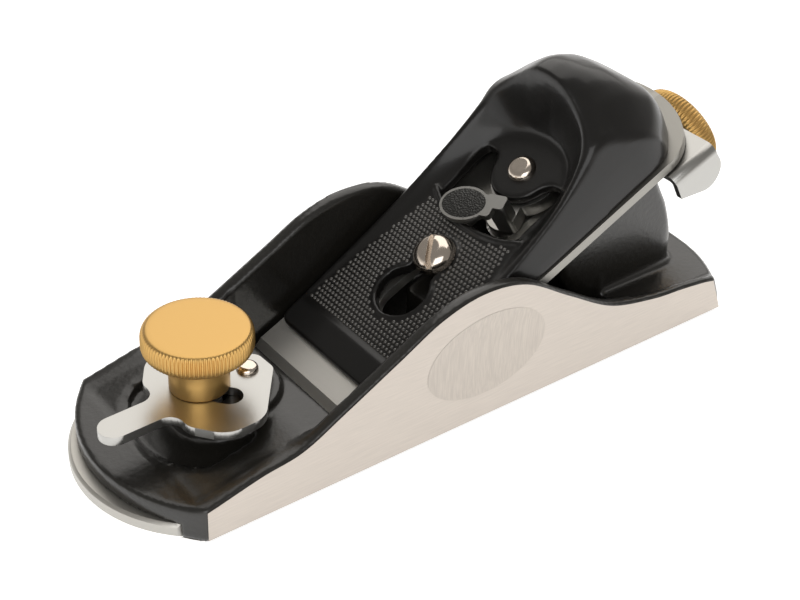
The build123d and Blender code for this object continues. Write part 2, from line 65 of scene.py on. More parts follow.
def panel_to_bed(points):
    """Panel coordinates (p along the panel, v, q above it) to bed coordinates."""
    p, v, q = np.asarray(points, float).T
    sin_tilt, cos_tilt = math.sin(PANEL_TILT), math.cos(PANEL_TILT)
    return np.stack([p * cos_tilt - q * sin_tilt, v, PANEL_RISE + p * sin_tilt + q * cos_tilt], axis=1)


# ---- distance fields ------------------------------------------------------------------
def union(a, b, r=0.0):
    """The nearer of two shapes, with a fillet of radius r where they meet."""
    return np.maximum(r, np.minimum(a, b)) - np.hypot(np.maximum(r - a, 0), np.maximum(r - b, 0))


def common(a, b, r=0.0):
    """What two shapes share, with the edge between them rounded to radius r."""
    return -union(-a, -b, r)


def cut(a, b, r=0.0):
    """Shape a with shape b taken away, and the edge rounded."""
    return common(a, -b, r)


def polygon_field(x, y, points):
    """Signed distance to a closed outline, negative inside."""
    points = np.asarray(points, float)
    nearest = np.full(np.broadcast(x, y).shape, 1e9)
    inside = np.zeros(nearest.shape, bool)
    for (ax, ay), (bx, by) in zip(points, np.roll(points, -1, axis=0)):
        ex, ey = bx - ax, by - ay
        t = np.clip(((x - ax) * ex + (y - ay) * ey) / (ex * ex + ey * ey + 1e-12), 0, 1)
        nearest = np.minimum(nearest, np.hypot(x - ax - t * ex, y - ay - t * ey))
        if ay != by:
            crosses = ((ay > y) != (by > y)) & (x < ex * (y - ay) / ey + ax)
            inside ^= crosses
    return np.where(inside, -nearest, nearest)


def rounded_box(x, y, half_x, half_y, r):
    """Signed distance to a rectangle with round corners, centred on the origin."""
    dx, dy = np.abs(x) - half_x + r, np.abs(y) - half_y + r
    outside = np.hypot(np.maximum(dx, 0), np.maximum(dy, 0))
    return outside + np.minimum(np.maximum(dx, dy), 0) - r


def smooth_curve(points, per_span=8):
    """Points along a smooth curve through the given ones (Catmull-Rom)."""
    points = np.asarray(points, float)
    padded = np.vstack([2 * points[0] - points[1], points, 2 * points[-1] - points[-2]])
    result = []
    for a, b, c, d in zip(padded, padded[1:], padded[2:], padded[3:]):
        for t in np.arange(per_span) / per_span:
            result.append(0.5 * (2 * b + (c - a) * t + (2 * a - 5 * b + 4 * c - d) * t ** 2
                                 + (3 * b - a - 3 * c + d) * t ** 3))
    return np.array(result + [points[-1]])


def along_curve(curve, x):
    """Height of a smooth curve at each x."""
    points = smooth_curve(curve)
    return np.interp(x, points[:, 0], points[:, 1])


def arc_points(start, middle, end, count=24):
    """Points along the circular arc through three points."""
    a, b, c = (complex(*p) for p in (start, middle, end))
    w = (c - a) / (b - a)
    centre = (b - a) * (w - abs(w) ** 2) / (2j * w.imag) + a
    radius = abs(a - centre)
    angle_a, angle_b, angle_c = (math.atan2((p - centre).imag, (p - centre).real) for p in (a, b, c))
    turn = (angle_c - angle_a) % (2 * math.pi)
    if (angle_b - angle_a) % (2 * math.pi) > turn:
        turn -= 2 * math.pi
    angles = angle_a + turn * np.linspace(0, 1, count)
    return np.stack([centre.real + radius * np.cos(angles), centre.imag + radius * np.sin(angles)], axis=1)


def surface_net(field, origin, step):
    """A quad mesh of a field's zero surface: one point in each cell that it crosses."""
    shape = np.array(field.shape)
    inside = field < 0
    total = np.zeros(tuple(shape - 1) + (3,))
    count = np.zeros(tuple(shape - 1))
    corner_sets = [(i, j, k) for i in (0, 1) for j in (0, 1) for k in (0, 1)]
    for axis in range(3):
        for corner in corner_sets:
            if corner[axis]:
                continue
            low = tuple(slice(c, c + n - 1) for c, n in zip(corner, shape))
            high = tuple(slice(c + (a == axis), c + (a == axis) + n - 1)
                         for a, (c, n) in enumerate(zip(corner, shape)))
            f0, f1 = field[low], field[high]
            crossing = inside[low] != inside[high]
            t = np.where(crossing, f0 / np.where(crossing, f0 - f1, 1), 0)
            for a in range(3):
                offset = t if a == axis else corner[a]
                total[..., a] += np.where(crossing, offset, 0)
            count += crossing
    cells = np.argwhere(count > 0)
    index = np.full(tuple(shape - 1), -1)
    index[tuple(cells.T)] = np.arange(len(cells))
    points = (cells + total[tuple(cells.T)] / count[tuple(cells.T)][:, None]) * step + origin
    quads = []
    for axis in range(3):
        u, w = (axis + 1) % 3, (axis + 2) % 3
        core = [slice(1, -1)] * 3
        core[axis] = slice(0, -1)
        shifted = list(core)
        shifted[axis] = slice(1, None)
        here, there = inside[tuple(core)], inside[tuple(shifted)]
        for flip in (False, True):
            edges = np.argwhere(here & ~there if not flip else ~here & there)
            base = edges + np.array([0 if a == axis else 1 for a in range(3)])
            ring = []
            for du, dw in ((0, 0), (1, 0), (1, 1), (0, 1)):
                cell = base.copy()
                cell[:, u] -= du
                cell[:, w] -= dw
                ring.append(index[tuple(cell.T)])
            ring = np.stack(ring[::-1] if flip else ring, axis=1)
            quads.append(ring)
    return points, np.vstack(quads)


def grid(low, high, step):
    """Open grid axes between two corners, and the corner they start from."""
    axes = [np.arange(a, b + step, step) for a, b in zip(low, high)]
    origin = np.array([axis[0] for axis in axes])
    x, y, z = axes
    return x[:, None, None], y[None, :, None], z[None, None, :], origin


def make_mesh(name, points, faces, smooth=True):
    """A Blender object from points in millimetres."""
    mesh = bpy.data.meshes.new(name)
    mesh.from_pydata((np.asarray(points) * MM).tolist(), [], [list(map(int, face)) for face in faces])
    mesh.validate()
    mesh.update()
    mesh.polygons.foreach_set("use_smooth", [smooth] * len(mesh.polygons))
    piece = bpy.data.objects.new(name, mesh)
    bpy.context.scene.collection.objects.link(piece)
    return piece


def dress(piece, body, slot, material, *replaced):
    """Gives a piece its body and material, and hides the CAD nodes it stands for; the slot is not used."""
    piece.data.materials.clear()
    piece.data.materials.append(material)
    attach(piece, body)
    if replaced:
        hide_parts(*replaced)
    return piece


# ---- body casting ---------------------------------------------------------------------
HALF_WIDTH = 24.95            # the ground faces lie on it as thin skins
CHANNEL_HALF = 21.6
CHANNEL_FLOOR = 4.5
CHANNEL = {"middle": -2.0, "reach": 39.5}
THROAT = {"middle": 34.3, "reach": 3.2, "top": 20}
BED_FRONT = 34.0
BED_START = 20.0              # distance up the bed where the sides stop filling the channel
DECK_ENDS = (36.0, 71.6)
HEEL_MIDDLE = -35.4
HEEL_FOOT_RADIUS = 43.7
HEEL_LEAN = 0.344             # how much the heel's radius shrinks for each millimetre of height
HEEL_DECK_HALF = 22.4
HEEL_DECK_Z = 8.6
HEEL_DECK_FRONT = -41.0
BED_GAP = 0.03                # the casting stays this far under the bed, so that the cutter's face shows
PAD = {"x": 51.2, "radius": 11.6, "top": 14.1}
LEVER_GAP = {"half": 8.3, "depth": 2.3}
SLIDE_GAP = {"half": 5.05, "depth": 8.6}
GAP_START = 50.0              # distance up the bed where both gaps in the post begin
DECK_LINE = [(37.5, 12.3), (43.0, 12.4), (48.7, 12.3), (58.3, 10.8), (70.6, 7.9)]
DECK_SLOPE = math.radians(8.4)
CHEEK_TOP = [
    (82.0, 6.7), (76.0, 6.9), (70.6, 7.4), (58.3, 10.4), (48.7, 12.1), (38.8, 17.2), (25.5, 24.5),
    (15.3, 30.0), (4.7, 32.4), (-6.6, 30.5), (-19.3, 22.9), (-32.9, 15.1), (-46.6, 11.8), (-55.2, 10.95),
    (-60.0, 10.4), (-64.1, 9.8), (-67.7, 9.0), (-77.0, 8.0),
]
CROWN = 0.5                    # how far the painted crown stands above the ground face
PILLAR_SIDE = [(1.0, 3.0), (0.8, 16.0), (-11.6, 22.0), (-19.6, 3.0)]
POST_SIDE = [
    (-38.0, 3.0), (-25.5, 21.5), (-22.3, 27.35), (-45.0, 38.51), (-51.0, 37.2), (-56.9, 33.6), (-61.0, 26.5),
    (-65.3, 17.0), (-68.2, 3.0),
]


def sole_outline():
    """The casting's outline from above: a wide round toe, straight sides and a shallow round heel."""
    toe = arc_points((70.6, -HALF_WIDTH), (80.85, 0.0), (70.6, HALF_WIDTH), 40)
    heel = arc_points((-72.0, 22.3), (-75.85, 0.0), (-72.0, -22.3), 30)
    left = arc_points((-68.8, HALF_WIDTH), (-70.9, 24.2), (-72.0, 22.3), 10)
    right = left[::-1] * (1, -1)
    return np.vstack([toe, left, heel, right])


def heel_radius(z):
    """Radius of the leaning heel at a height, about a point on the middle line."""
    return HEEL_FOOT_RADIUS - HEEL_LEAN * z


def bed_heights(x, z):
    """Distance up the bed and height above it, for world X and Z."""
    sin_bed, cos_bed = math.sin(BED_ANGLE), math.cos(BED_ANGLE)
    return (MOUTH_X - x) * cos_bed + z * sin_bed, (x - MOUTH_X) * sin_bed + z * cos_bed


def casting_hollow(x, y, z, u, h):
    """The space between the cheeks, and how far a point is below the toe deck."""
    side = np.abs(y) - CHANNEL_HALF
    channel_end = np.abs(x - CHANNEL["middle"]) - CHANNEL["reach"]
    channel = common(common(side, channel_end, 1.5), CHANNEL_FLOOR - z, 2.0)
    heel = common(common(np.abs(y) - HEEL_DECK_HALF, HEEL_DECK_Z - z, 1.2), x - HEEL_DECK_FRONT, 1.0)
    below = (along_curve(DECK_LINE, x) - z) * math.cos(DECK_SLOPE)
    deck = common(common(common(below, side, 1.5), DECK_ENDS[0] - x), x - DECK_ENDS[1], 1.0)
    bed = common(common(-h - BED_GAP, side), common(x - BED_FRONT, u - BED_START))
    throat = common(common(np.abs(x - THROAT["middle"]) - THROAT["reach"], side), z - THROAT["top"])
    hollow = union(union(channel, heel, 1.0), deck, 0.8)
    return union(union(hollow, bed), throat), below


MOAT = {"x": 49.55, "radius": 22.4, "ledge": 0.55, "ledge_width": 1.5, "depth": 2.3}
MOAT_BOX = {"x": 62.0, "half_x": 12.0, "half_y": 16.6, "corner": 6.0}


def deck_moat(x, y, below):
    """The sunk ring around the pad: a narrow upper ledge, then the deeper ring."""
    box = rounded_box(x - MOAT_BOX["x"], y, MOAT_BOX["half_x"], MOAT_BOX["half_y"], MOAT_BOX["corner"])
    ring = common(np.hypot(x - MOAT["x"], y) - MOAT["radius"], box, 3.0)
    ledge = common(ring, below - MOAT["ledge"], 0.3)
    floor = common(ring + MOAT["ledge_width"], below - MOAT["depth"], 0.8)
    return union(ledge, floor, 0.2)


def frog(solid, x, y, z, u, h):
    """The solid with the front ramp, the screw pillar and the rear post, and the gaps in the post."""
    ramp = common(common(h + BED_GAP, 12.0 - x), common(x - 32.0, -z))
    solid = union(solid, common(ramp, np.abs(y) - 22.0))
    pillar = common(polygon_field(x, z, PILLAR_SIDE), np.abs(y) - 6.5, 2.5)
    solid = union(solid, common(pillar, h + 0.4), 1.5)
    post_plan = rounded_box(x + 46.0, y, 23.0, 12.7, 8.5)
    post = common(common(polygon_field(x, z, POST_SIDE), post_plan, 2.2), h + BED_GAP)
    solid = union(solid, common(post, -z), 1.9)
    for gap in (LEVER_GAP, SLIDE_GAP):
        solid = cut(solid, common(common(np.abs(y) - gap["half"], -h - gap["depth"]), GAP_START - u), 0.3)
    return solid


def casting_field(x, y, z):
    """Signed distance to the painted casting."""
    u, h = bed_heights(x, z)
    plan = polygon_field(x, y, sole_outline())
    crest = smooth_curve(CHEEK_TOP) + (0, CROWN)
    profile = polygon_field(x, z, np.vstack([[(90, -9), (90, 7)], crest, [(-90, 8.5), (-90, -9)]]))
    solid = common(common(plan, profile, 0.7), -z, 0.35)
    lean = (np.hypot(x - HEEL_MIDDLE, y) - heel_radius(z)) * 0.945
    solid = cut(solid, common(-lean, x + 55.0), 0.7)
    hollow, below = casting_hollow(x, y, z, u, h)
    solid = cut(solid, hollow, 1.3)
    solid = frog(solid, x, y, z, u, h)
    pad = common(np.hypot(x - PAD["x"], y) - PAD["radius"], z - PAD["top"], 0.6)
    solid = cut(solid, cut(deck_moat(x, y, below), pad), 0.35)
    solid = union(solid, common(pad, 5.0 - z), 0.8)
    return holes_cut(solid, x, y, z, u, h)


MOUTH_EDGE = 32.3
BAY = {"half": 20.7, "top": 3.4}
BOSS_WAY = {"ends": (55.46, 56.96), "radius": 4.6}
PIVOT = {"x": 46.25, "y": 1.0, "radius": 1.8, "floor": 8.0}
SCREW = {"x": -2.61, "z": 25.32, "radius": 2.95, "depth": 24.0}
DEPTH_AXIS_H = -16.0
DISH = {"x": 2.75, "z": 16.6, "y": 84.15, "long": 94.6, "short": 60.0}


def holes_cut(solid, x, y, z, u, h):
    """Bores, slots and the toe plate's bay, taken out of the casting."""
    bay = common(common(np.abs(y) - BAY["half"], z - BAY["top"]), MOUTH_EDGE - x)
    boss_x = np.clip(x, *BOSS_WAY["ends"])
    boss_way = np.hypot(x - boss_x, y) - BOSS_WAY["radius"]
    pivot = common(np.hypot(x - PIVOT["x"], y - PIVOT["y"]) - PIVOT["radius"], PIVOT["floor"] - z)
    sin_panel, cos_panel = math.sin(BED_ANGLE + PANEL_TILT), math.cos(BED_ANGLE + PANEL_TILT)
    way_x, way_z = x - SCREW["x"], z - SCREW["z"]
    along = way_x * cos_panel - way_z * sin_panel
    depth = -way_x * sin_panel - way_z * cos_panel
    screw = common(np.hypot(along, y) - SCREW["radius"], depth - SCREW["depth"])
    depth_bore = common(np.hypot(y, h - DEPTH_AXIS_H) - 2.5, 76.0 - u)
    for hole in (bay, boss_way + 0 * z, pivot, screw, depth_bore):
        solid = cut(solid, hole, 0.15)
    for side in SIDES:
        way_x, way_z = (x - DISH["x"]) / DISH["long"], (z - DISH["z"]) / DISH["short"]
        dish = np.sqrt(way_x ** 2 + ((y * side - DISH["y"] + 0.1) / DISH["short"]) ** 2 + way_z ** 2)
        solid = cut(solid, (dish - 1.0) * DISH["short"])
    return solid


def build_casting(material):
    """The painted casting, as one smooth skin."""
    step = 0.7
    x, y, z, origin = grid((-77.6, -26.6, -1.37), (82.6, 26.6, 41.0), step)
    points, quads = surface_net(casting_field(x, y, z), origin, step)
    piece = make_mesh("casting_skin", points, quads)
    return dress(piece, "body", "body_enamel", material, "body_casting")


# ---- lever cap ------------------------------------------------------------------------
CAP_BOTTOM = 2.32
CAP_FRONT = 11.4
BAND_END = 18.6
WEB_CENTRE = 70.5
WEB_RADIUS = 7.5
SCREW_CENTRE = 43.4
KEYHOLE_CENTRE = SCREW_CENTRE - 10.4
KEYHOLE_RADIUS = 6.2
KEY_SLOT_HALF = 3.5
LIP_CENTRE = 83.2             # centre of the arc at the front of the cam window
LIP_RADIUS = 30.6
UNDERSIDE = {"centre": 54.0, "half_length": 38.0, "half_width": 16.5, "corner": 8.0}
ROOF = 2.5                    # thickness of the cap over its hollow underside
CAP_HALF = 20.4
CAP_FOOT = 2.4                # height above the bed where the sides start to lean in
SIDE_LEAN = 0.18
SIDE_SCALE = 0.984            # the cosine of that lean
PALM_CENTRE = 88.0
PALM_LENGTH = 16.8
RIDGE_LINE = [
    (11.4, 4.05), (18.0, 4.8), (30.0, 6.2), (40.0, 7.5), (48.0, 8.8), (55.0, 10.2), (62.0, 11.9),
    (69.5, 14.1), (77.0, 16.4), (81.0, 17.6), (85.0, 17.7), (88.5, 17.0), (92.0, 15.8), (95.5, 14.0),
    (99.0, 11.5), (103.0, 7.5), (105.0, 2.4), (108.0, 2.3),
]
CROWN_LINE = [
    (66.0, 12.0), (70.0, 16.8), (73.0, 20.5), (76.0, 24.0), (78.5, 26.0), (81.0, 27.0), (84.5, 27.4),
    (88.0, 27.0), (90.5, 25.9), (92.7, 24.2), (95.5, 21.6), (98.1, 18.1), (100.7, 14.2), (103.1, 9.6),
    (104.8, 2.4), (108.0, 2.3),
]
CROWN_ARCH = [
    (-1.0, 1.0), (0.0, 1.0), (4.0, 0.94), (7.0, 0.78), (10.0, 0.56), (13.0, 0.36), (15.5, 0.20), (17.5, 0.09),
    (19.5, 0.0), (30.0, 0.0),
]
FLOOR_EDGE = [
    (18.6, 18.9), (25.0, 18.3), (34.0, 17.1), (44.0, 15.6), (54.0, 13.8), (62.0, 13.2), (70.0, 12.4),
    (73.5, 10.9), (76.5, 8.3), (78.7, 4.6), (79.5, 0.0),
]
WALL_EDGE = [
    (18.6, 19.4), (30.0, 19.0), (48.0, 18.4), (62.0, 17.8), (68.0, 17.0), (73.0, 16.2), (77.5, 14.9),
    (80.6, 12.3), (82.6, 8.5), (83.6, 4.5), (83.9, 0.0),
]
CREST_LAG = [(-1.0, 0.0), (9.5, 0.0), (13.4, 2.0), (17.0, 6.0), (19.8, 7.0), (30.0, 7.0)]


def cap_outline():
    """The cap's outline on the bed: a square front with small corners, and a round rear."""
    angles = np.radians(np.linspace(90, -90, 40))
    rear = np.stack([PALM_CENTRE + PALM_LENGTH * np.cos(angles), CAP_HALF * np.sin(angles)], axis=1)
    corner = arc_points((CAP_FRONT, -CAP_HALF + 3.0), (CAP_FRONT + 0.88, -CAP_HALF + 0.88),
                        (CAP_FRONT + 3.0, -CAP_HALF), 8)
    other = corner[::-1] * (1, -1)
    return np.vstack([rear, corner[::-1], other[::-1]])


def edge_field(u, v, edge):
    """Signed distance to a symmetric outline, given one side of it."""
    half = smooth_curve(edge)
    return polygon_field(u, v, np.vstack([half, half[::-1] * (1, -1)]))


def blurred(heights, cells):
    """A height map softened by a few passes of a three-point average."""
    for _ in range(cells):
        padded = np.pad(heights, 1, mode="edge")
        heights = (padded[:-2, 1:-1] + 2 * padded[1:-1, 1:-1] + padded[2:, 1:-1]) / 4
        padded = np.pad(heights, 1, mode="edge")
        heights = (padded[1:-1, :-2] + 2 * padded[1:-1, 1:-1] + padded[1:-1, 2:]) / 4
    return heights


def cap_top(u, v):
    """Height map of the cap: sunk panel, coves up to the side ridges, thumb hollow and crown."""
    behind = u + along_curve(CREST_LAG, np.abs(v)) * np.clip((u - 76.0) / 10.0, 0, 1)
    ridge = along_curve(RIDGE_LINE, behind)
    crown = np.maximum(along_curve(CROWN_LINE, behind) - ridge, 0)
    outer = ridge + crown * along_curve(CROWN_ARCH, np.abs(v))
    floor = panel_height(u)
    to_floor, to_wall = edge_field(u, v, FLOOR_EDGE), edge_field(u, v, WALL_EDGE)
    climb = np.clip(to_floor / np.maximum(to_floor - to_wall, 1e-6), 0, 1)
    climb = np.where(to_wall > 0, 1.0, climb)
    inner = floor + (outer - floor) * climb ** 1.5
    return np.where(u < BAND_END, floor + 0.55, inner)


def cap_shell(u, v, h, step):
    """The cap's outside: its roof, leaning sides and outline."""
    top = blurred(cap_top(u[:, :, 0], v[:, :, 0]), max(1, round(0.6 / step ** 2)))
    slope = np.hypot(*np.gradient(top, step))
    roof = (h - top[:, :, None]) / np.sqrt(1 + slope[:, :, None] ** 2)
    side = (np.abs(v) - CAP_HALF + (h - CAP_FOOT) * SIDE_LEAN) * SIDE_SCALE
    swell = np.clip((u - 60.0) / 25.0, 0, 1)
    plan = polygon_field(u, v, cap_outline())
    return common(common(roof, side, 0.7 + 0.5 * swell), plan, 0.6 + 1.5 * swell)


def cap_field(u, v, h, step):
    """Signed distance to the lever cap."""
    solid = common(cap_shell(u, v, h, step), CAP_BOTTOM - h, 0.3)
    return cap_openings(solid, u, v, h)


def cap_openings(solid, u, v, h):
    """Keyhole, its raised rim, the cam window with its lip, the web and the hollow underside."""
    q = h - panel_height(u)
    slot_u = np.clip(u, KEYHOLE_CENTRE, SCREW_CENTRE + 1.0)
    keyhole = union(np.hypot(u - KEYHOLE_CENTRE, v) - KEYHOLE_RADIUS,
                    np.hypot(u - slot_u, v) - KEY_SLOT_HALF, 0.8)
    rim = common(common(np.abs(keyhole - 0.5) - 0.5, q - 0.42, 0.3), -q - 1.0)
    solid = union(solid, rim, 0.25)
    plan = rounded_box(u - UNDERSIDE["centre"], v, UNDERSIDE["half_length"], UNDERSIDE["half_width"],
                       UNDERSIDE["corner"])
    solid = cut(solid, common(plan, q + ROOF, 0.8), 0.3)
    solid = cut(solid, keyhole + 0 * h, 0.25)
    window = common(rounded_box(u - 63.0, v, 9.4, 12.6, 4.0),
                    np.hypot(u - LIP_CENTRE, v) - LIP_RADIUS + 0.6, 1.2)
    window = union(window, np.hypot(u - 66.5, v) - 13.0, 0.8)
    web = union(np.hypot(u - WEB_CENTRE, v) - WEB_RADIUS, WEB_CENTRE + 0.8 - u, 3.0)
    window = cut(window, web, 0.6)
    lip = common(common(np.abs(np.hypot(u - LIP_CENTRE, v) - LIP_RADIUS) - 0.7, q - 0.75, 0.5),
                 common(np.abs(v) - 14.5, u - 62.0))
    solid = union(solid, common(lip, -q - 1.0), 0.4)
    return cut(solid, window + 0 * h, 0.5)


def build_cap(material):
    """The lever cap, as one smooth skin."""
    step = 0.5
    u, v, h, origin = grid((10.4, -20.9, 1.35), (106.0, 20.9, 30.0), step)
    points, quads = surface_net(cap_field(u, v, h, step), origin, step)
    piece = make_mesh("cap_skin", bed_to_world(points), quads[:, ::-1])
    return dress(piece, "cap", "cap_enamel", material, "lever_cap")


def sheet_mesh(name, rows):
    """A smooth mesh from a rectangular array of points."""
    rows = np.asarray(rows)
    high, wide = rows.shape[:2]
    index = np.arange(high * wide).reshape(high, wide)
    quads = np.stack([index[:-1, :-1], index[1:, :-1], index[1:, 1:], index[:-1, 1:]], axis=-1)
    return make_mesh(name, rows.reshape(-1, 3), quads.reshape(-1, 4))


# ---- ground faces ---------------------------------------------------------------------
FACE_Y = 24.99
RIM = 0.55                    # width of the painted edge left above each ground cheek
DISH_HALF = (15.8, 10.02)
SKIN = 0.005                  # the sole's thin face stands this far above the casting's


def dish_y(x, z):
    """Distance of the dish's floor from the middle plane."""
    inside = 1 - ((x - DISH["x"]) / DISH["long"]) ** 2 - ((z - DISH["z"]) / DISH["short"]) ** 2
    return DISH["y"] - DISH["short"] * np.sqrt(np.maximum(inside, 0))


def cheek_face(name, side, material):
    """A cheek's ground face, which follows the dish where the dish is cut."""
    crest = smooth_curve(CHEEK_TOP) + (0, CROWN - RIM)
    x = np.linspace(-66.4, 70.4, 280)
    top = np.interp(x, crest[::-1, 0], crest[::-1, 1])
    part = np.linspace(0, 1, 60)[:, None]
    z = 0.35 + part * (top - 0.35)
    heel = HEEL_MIDDLE - np.sqrt(heel_radius(z) ** 2 - HALF_WIDTH ** 2) + 0.5
    x = x + (heel - x[0]) * np.clip((x[0] + 8.0 - x) / 8.0, 0, 1)
    y = np.minimum(FACE_Y, dish_y(x, z) - 0.03)
    rows = np.stack([x, side * y, z], axis=-1)
    return dress(sheet_mesh(name, rows[::-side]), "body", "ground_iron", material)


def dish_face(name, side, material):
    """The ground floor of a finger dish."""
    angles = np.linspace(0, 2 * np.pi, 97)[:, None]
    r = np.linspace(0, 1, 14)
    x = DISH["x"] + DISH_HALF[0] * r * np.cos(angles)
    z = DISH["z"] + DISH_HALF[1] * r * np.sin(angles)
    rows = np.stack([x, side * dish_y(x, z), z], axis=-1)
    return dress(sheet_mesh(name, rows[::side]), "body", "ground_iron", material)


def sole_face(name, x, inner, outer, material):
    """A strip of the ground sole between two edges."""
    part = np.linspace(0, 1, 4)[:, None]
    y = inner + part * (outer - inner)
    x = np.broadcast_to(x, y.shape)
    rows = np.stack([x, y, np.full(y.shape, SKIN)], axis=-1)
    return dress(sheet_mesh(name, rows), "body", "ground_iron", material)


def build_ground_faces(material, dish_material):
    for side, label in zip(SIDES, ("right", "left")):
        cheek_face(label + "_cheek_face", side, material)
        dish_face(label + "_dish_face", side, dish_material)
    outline = sole_outline()
    edge = outline[outline[:, 1] > 0]
    edge = edge[np.argsort(edge[:, 0])]

    def half(x):
        return np.interp(x, edge[:, 0], edge[:, 1]) - 0.4

    rear, middle, front = -75.0, MOUTH_EDGE - 0.1, 78.5
    x = np.linspace(rear, middle, 60)
    sole_face("sole_face", x, -half(x), half(x), material)
    x = np.linspace(middle, front, 40)
    rail = BAY["half"] + 0.1
    inner, outer = np.full(x.shape, rail), np.maximum(half(x), rail)
    sole_face("left_toe_rail_face", x, inner, outer, material)
    sole_face("right_toe_rail_face", x, -outer, -inner, material)


# ---- turned brass ---------------------------------------------------------------------
def turned(name, profile, place, teeth=0):
    """A lathe shape. Each profile row is radius, distance along the axis and depth of knurl."""
    count = teeth * 4 if teeth else 96
    angles = np.arange(count) * 2 * np.pi / count
    wave = 0.5 - 0.5 * np.cos(teeth * angles)
    profile = np.asarray(profile, float)
    r = profile[:, :1] - profile[:, 2:] * wave
    along = np.broadcast_to(profile[:, 1:2], r.shape)
    points = np.stack([r * np.cos(angles), r * np.sin(angles), along], axis=-1)
    rows = len(profile)
    index = np.arange(rows * count).reshape(rows, count)
    nxt = np.roll(index, -1, axis=1)
    quads = np.stack([index[:-1], nxt[:-1], nxt[1:], index[1:]], axis=-1).reshape(-1, 4)
    return make_mesh(name, place(points.reshape(-1, 3)), quads)


KNOB_X = 56.86
KNOB_TEETH = 84
KNOB_HUB = [
    (0.01, 16.25, 0), (5.8, 16.25, 0), (6.05, 16.35, 0), (6.13, 16.6, 0), (6.13, 20.0, 0), (6.13, 23.2, 0),
    (6.4, 23.9, 0),
]
KNOB_RIM = [
    (7.2, 24.4, 0), (9.6, 24.95, 0), (10.3, 25.2, 0), (10.75, 25.55, 0.4), (11.05, 26.0, 0.65),
    (11.2, 26.6, 0.7), (11.2, 27.6, 0.7), (11.2, 28.6, 0.7), (11.1, 29.2, 0.65), (10.85, 29.75, 0.4),
    (10.5, 30.1, 0.1), (10.2, 30.22, 0), (9.8, 30.28, 0), (9.0, 30.3, 0), (4.5, 30.3, 0), (0.01, 30.3, 0),
]
WHEEL_TEETH = 72
WHEEL_PROFILE = [
    (2.45, 104.1, 0), (4.3, 104.1, 0), (4.5, 104.3, 0), (4.5, 109.1, 0), (4.9, 109.8, 0), (6.0, 110.0, 0),
    (9.3, 110.0, 0), (9.9, 110.2, 0.1), (10.5, 110.7, 0.35), (10.8, 111.3, 0.5), (11.0, 111.9, 0.5),
    (11.0, 113.7, 0.5), (10.8, 114.3, 0.5), (10.5, 114.9, 0.35), (9.9, 115.4, 0.1), (9.3, 115.6, 0),
    (2.45, 115.6, 0),
]


def build_knob(material):
    piece = turned("knob_turned", KNOB_HUB + KNOB_RIM, lambda p: p + (KNOB_X, 0, 0), KNOB_TEETH)
    return dress(piece, "knob", "knob_brass", material, "front_knob")


def build_wheel(material):
    def place(points):
        return bed_to_world(np.stack([points[:, 2], points[:, 0], points[:, 1] + DEPTH_AXIS_H], axis=1))

    piece = turned("wheel_turned", WHEEL_PROFILE, place, WHEEL_TEETH)
    return dress(piece, "depth_drive", "wheel_brass", material, "depth_wheel")


# ---- texture of the cap's panel -------------------------------------------------------
BUMP_PITCH = 1.12
BUMP_RADIUS = 0.5
BUMP_HEIGHT = 0.36
BUMP_START, BUMP_END = 19.8, 58.0
BUMP_BORDER = ((18.0, 25.0, 44.0, 54.0, 62.0), (18.9, 18.3, 15.6, 13.8, 13.2))


def bump_places():
    """Staggered rows of places on the panel, clear of its border, the keyhole and the screw."""
    row, column = np.meshgrid(np.arange(0, (BUMP_END - BUMP_START) / BUMP_PITCH), np.arange(-20, 21))
    u = (BUMP_START + row * BUMP_PITCH).ravel()
    v = ((column + 0.5 * (row % 2)) * BUMP_PITCH).ravel()
    border = np.interp(u, *BUMP_BORDER)
    slot_u = np.clip(u, KEYHOLE_CENTRE, SCREW_CENTRE)
    keyhole = union(np.hypot(u - KEYHOLE_CENTRE, v) - KEYHOLE_RADIUS, np.hypot(u - slot_u, v) - KEY_SLOT_HALF)
    clear = (np.abs(v) < border - 0.3) & (np.hypot(u - LIP_CENTRE, v) > LIP_RADIUS + 1.2)
    clear &= (np.hypot(u - SCREW_CENTRE, v) > 4.2) & (keyhole > 1.5)
    return u[clear], v[clear]


def build_bumps(material):
    """Small raised points in rows, cast on the panel."""
    sides = 8
    angles = np.arange(sides) * 2 * np.pi / sides
    rings = ((1.0, -0.1), (0.85, 0.45), (0.5, 0.85))
    local = [(r * math.cos(a), r * math.sin(a), q) for r, q in rings for a in angles] + [(0, 0, 1.0)]
    local = np.array(local) * (BUMP_RADIUS, BUMP_RADIUS, BUMP_HEIGHT)
    faces = []
    for i in range(sides):
        j = (i + 1) % sides
        faces += [(i, j, sides + j, sides + i), (sides + i, sides + j, 2 * sides + j, 2 * sides + i)]
        faces += [(2 * sides + i, 2 * sides + j, 3 * sides)]
    u, v = bump_places()
    centres = np.stack([u, v, panel_height(u)], axis=1)
    points = (centres[:, None, :] + local[None]).reshape(-1, 3)
    size = len(local)
    faces = [tuple(size * k + i for i in face[::-1]) for k in range(len(centres)) for face in faces]
    piece = make_mesh("cap_texture", bed_to_world(points), faces)
    return dress(piece, "cap", "cap_enamel", material)


TAB = {"before_web": 14.6, "v": 2.6, "turn": -68, "long": 5.4, "short": 3.8, "top": 3.02, "swell": 0.15}


